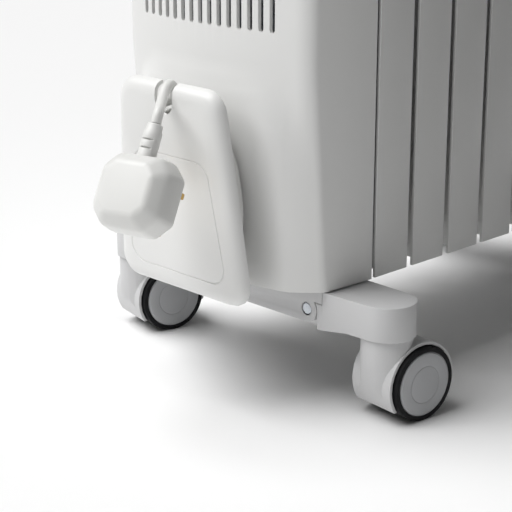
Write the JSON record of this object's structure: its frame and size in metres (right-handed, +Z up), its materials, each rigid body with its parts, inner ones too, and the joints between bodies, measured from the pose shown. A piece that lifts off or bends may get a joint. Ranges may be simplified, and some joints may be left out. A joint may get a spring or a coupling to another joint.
{
  "type": "oil filled radiator heater",
  "caption": "Oil filled radiator heater on folding feet with twin-wheel castors, with a control housing, cord storage plate, carry handle and mains plug.",
  "frame": {"origin": "middle of the footprint on the floor, measured without the cord and plug", "axes": "+Z up, -Y towards the front with the control housing and the cord plate, +X to the right seen from the front"},
  "size_m": [0.2836, 0.4799, 0.662],
  "materials": {
    "white_plastic": "fine satin",
    "light_grey_plastic": "fine satin",
    "white_enamel": "satin powder coat",
    "black_plastic": "matt",
    "black_rubber": "matt",
    "zinc_plated_steel": "satin",
    "brass": "bright",
    "white_pvc": "smooth",
    "amber_lens": "clear gloss"
  },
  "bodies": {
    "body": {"carry_handle": "white_plastic", "chassis_plate": "zinc_plated_steel", "control_fascia": "white_plastic", "cord_coil": "white_pvc", "cord_gland": "black_plastic", "cord_tail": "white_pvc", "cord_wrap_plate": "white_plastic", "element_flange": "brass", "filler_plug": "zinc_plated_steel", "fin_01": "white_enamel", "fin_02": "white_enamel", "fin_03": "white_enamel", "fin_04": "white_enamel", "fin_05": "white_enamel", "fin_06": "white_enamel", "fin_07": "white_enamel", "fin_08": "white_enamel", "flange_gasket": "black_rubber", "front_foot_beam": "light_grey_plastic", "front_housing": "white_plastic", "heating_element": "zinc_plated_steel", "hinge_screw_front_left": "zinc_plated_steel", "hinge_screw_front_right": "zinc_plated_steel", "hinge_screw_rear_left": "zinc_plated_steel", "hinge_screw_rear_right": "zinc_plated_steel", "pilot_lamp": "amber_lens", "plug_body": "white_pvc", "plug_earth_pin": "brass", "plug_fuse_carrier": "white_pvc", "plug_line_pin": "brass", "plug_neutral_pin": "brass", "rear_cover": "white_enamel", "rear_foot_beam": "light_grey_plastic", "switch_block": "black_plastic", "terminal_block": "white_pvc", "thermal_cutout": "zinc_plated_steel", "thermostat_body": "black_plastic"},
    "arm_body_front_right": {"arm_front_right": "light_grey_plastic"},
    "castor_front_right": {"hood_front_right": "light_grey_plastic", "axle_front_right": "zinc_plated_steel"},
    "wheel_front_right_outer_body": {"wheel_front_right_outer": "black_rubber"},
    "wheel_front_right_inner_body": {"wheel_front_right_inner": "black_rubber"},
    "arm_body_front_left": {"arm_front_left": "light_grey_plastic"},
    "castor_front_left": {"hood_front_left": "light_grey_plastic", "axle_front_left": "zinc_plated_steel"},
    "wheel_front_left_outer_body": {"wheel_front_left_outer": "black_rubber"},
    "wheel_front_left_inner_body": {"wheel_front_left_inner": "black_rubber"},
    "arm_body_rear_right": {"arm_rear_right": "light_grey_plastic"},
    "castor_rear_right": {"hood_rear_right": "light_grey_plastic", "axle_rear_right": "zinc_plated_steel"},
    "wheel_rear_right_outer_body": {"wheel_rear_right_outer": "black_rubber"},
    "wheel_rear_right_inner_body": {"wheel_rear_right_inner": "black_rubber"},
    "arm_body_rear_left": {"arm_rear_left": "light_grey_plastic"},
    "castor_rear_left": {"hood_rear_left": "light_grey_plastic", "axle_rear_left": "zinc_plated_steel"},
    "wheel_rear_left_outer_body": {"wheel_rear_left_outer": "black_rubber"},
    "wheel_rear_left_inner_body": {"wheel_rear_left_inner": "black_rubber"},
    "knob": {"thermostat_knob": "white_plastic"},
    "rocker_low_body": {"rocker_low": "white_plastic"},
    "rocker_high_body": {"rocker_high": "white_plastic"}
  },
  "joints": [
    {"name": "arm_fold_front_right", "type": "hinge", "parent": "body", "child": "arm_body_front_right", "pos_m": [0.0665, -0.13114, 0.064], "axis": [0, 1, 0], "range_deg": [0, 90]},
    {"name": "castor_swivel_front_right", "type": "hinge", "parent": "arm_body_front_right", "child": "castor_front_right", "pos_m": [0.118, -0.13114, 0.0555], "axis": [0, 0, 1], "continuous": true},
    {"name": "wheel_spin_front_right_outer", "type": "hinge", "parent": "castor_front_right", "child": "wheel_front_right_outer_body", "pos_m": [0.11961, -0.11703, 0.0243], "axis": [0.9936, -0.1132, 0], "continuous": true},
    {"name": "wheel_spin_front_right_inner", "type": "hinge", "parent": "castor_front_right", "child": "wheel_front_right_inner_body", "pos_m": [0.11961, -0.11703, 0.0243], "axis": [0.9936, -0.1132, 0], "continuous": true},
    {"name": "arm_fold_front_left", "type": "hinge", "parent": "body", "child": "arm_body_front_left", "pos_m": [-0.0665, -0.13114, 0.064], "axis": [0, -1, 0], "range_deg": [0, 90]},
    {"name": "castor_swivel_front_left", "type": "hinge", "parent": "arm_body_front_left", "child": "castor_front_left", "pos_m": [-0.118, -0.13114, 0.0555], "axis": [0, 0, 1], "continuous": true},
    {"name": "wheel_spin_front_left_outer", "type": "hinge", "parent": "castor_front_left", "child": "wheel_front_left_outer_body", "pos_m": [-0.11493, -0.11728, 0.0243], "axis": [0.9763, -0.2164, 0], "continuous": true},
    {"name": "wheel_spin_front_left_inner", "type": "hinge", "parent": "castor_front_left", "child": "wheel_front_left_inner_body", "pos_m": [-0.11493, -0.11728, 0.0243], "axis": [0.9763, -0.2164, 0], "continuous": true},
    {"name": "arm_fold_rear_right", "type": "hinge", "parent": "body", "child": "arm_body_rear_right", "pos_m": [0.0665, 0.16246, 0.064], "axis": [0, 1, 0], "range_deg": [0, 90]},
    {"name": "castor_swivel_rear_right", "type": "hinge", "parent": "arm_body_rear_right", "child": "castor_rear_right", "pos_m": [0.118, 0.16246, 0.0555], "axis": [0, 0, 1], "continuous": true},
    {"name": "wheel_spin_rear_right_outer", "type": "hinge", "parent": "castor_rear_right", "child": "wheel_rear_right_outer_body", "pos_m": [0.11493, 0.17632, 0.0243], "axis": [0.9763, 0.2164, 0], "continuous": true},
    {"name": "wheel_spin_rear_right_inner", "type": "hinge", "parent": "castor_rear_right", "child": "wheel_rear_right_inner_body", "pos_m": [0.11493, 0.17632, 0.0243], "axis": [0.9763, 0.2164, 0], "continuous": true},
    {"name": "arm_fold_rear_left", "type": "hinge", "parent": "body", "child": "arm_body_rear_left", "pos_m": [-0.0665, 0.16246, 0.064], "axis": [0, -1, 0], "range_deg": [0, 90]},
    {"name": "castor_swivel_rear_left", "type": "hinge", "parent": "arm_body_rear_left", "child": "castor_rear_left", "pos_m": [-0.118, 0.16246, 0.0555], "axis": [0, 0, 1], "continuous": true},
    {"name": "wheel_spin_rear_left_outer", "type": "hinge", "parent": "castor_rear_left", "child": "wheel_rear_left_outer_body", "pos_m": [-0.11961, 0.17657, 0.0243], "axis": [0.9936, 0.1132, 0], "continuous": true},
    {"name": "wheel_spin_rear_left_inner", "type": "hinge", "parent": "castor_rear_left", "child": "wheel_rear_left_inner_body", "pos_m": [-0.11961, 0.17657, 0.0243], "axis": [0.9936, 0.1132, 0], "continuous": true},
    {"name": "thermostat_turn", "type": "hinge", "parent": "body", "child": "knob", "pos_m": [-0.036, -0.16118, 0.577], "axis": [0, 0.9135, -0.4067], "range_deg": [0, 270]},
    {"name": "rocker_low_tip", "type": "hinge", "parent": "body", "child": "rocker_low_body", "pos_m": [0.0259, -0.16145, 0.57712], "axis": [1, 0, 0], "range_deg": [0, 14]},
    {"name": "rocker_high_tip", "type": "hinge", "parent": "body", "child": "rocker_high_body", "pos_m": [0.0461, -0.16145, 0.57712], "axis": [1, 0, 0], "range_deg": [0, 14]}
  ]
}
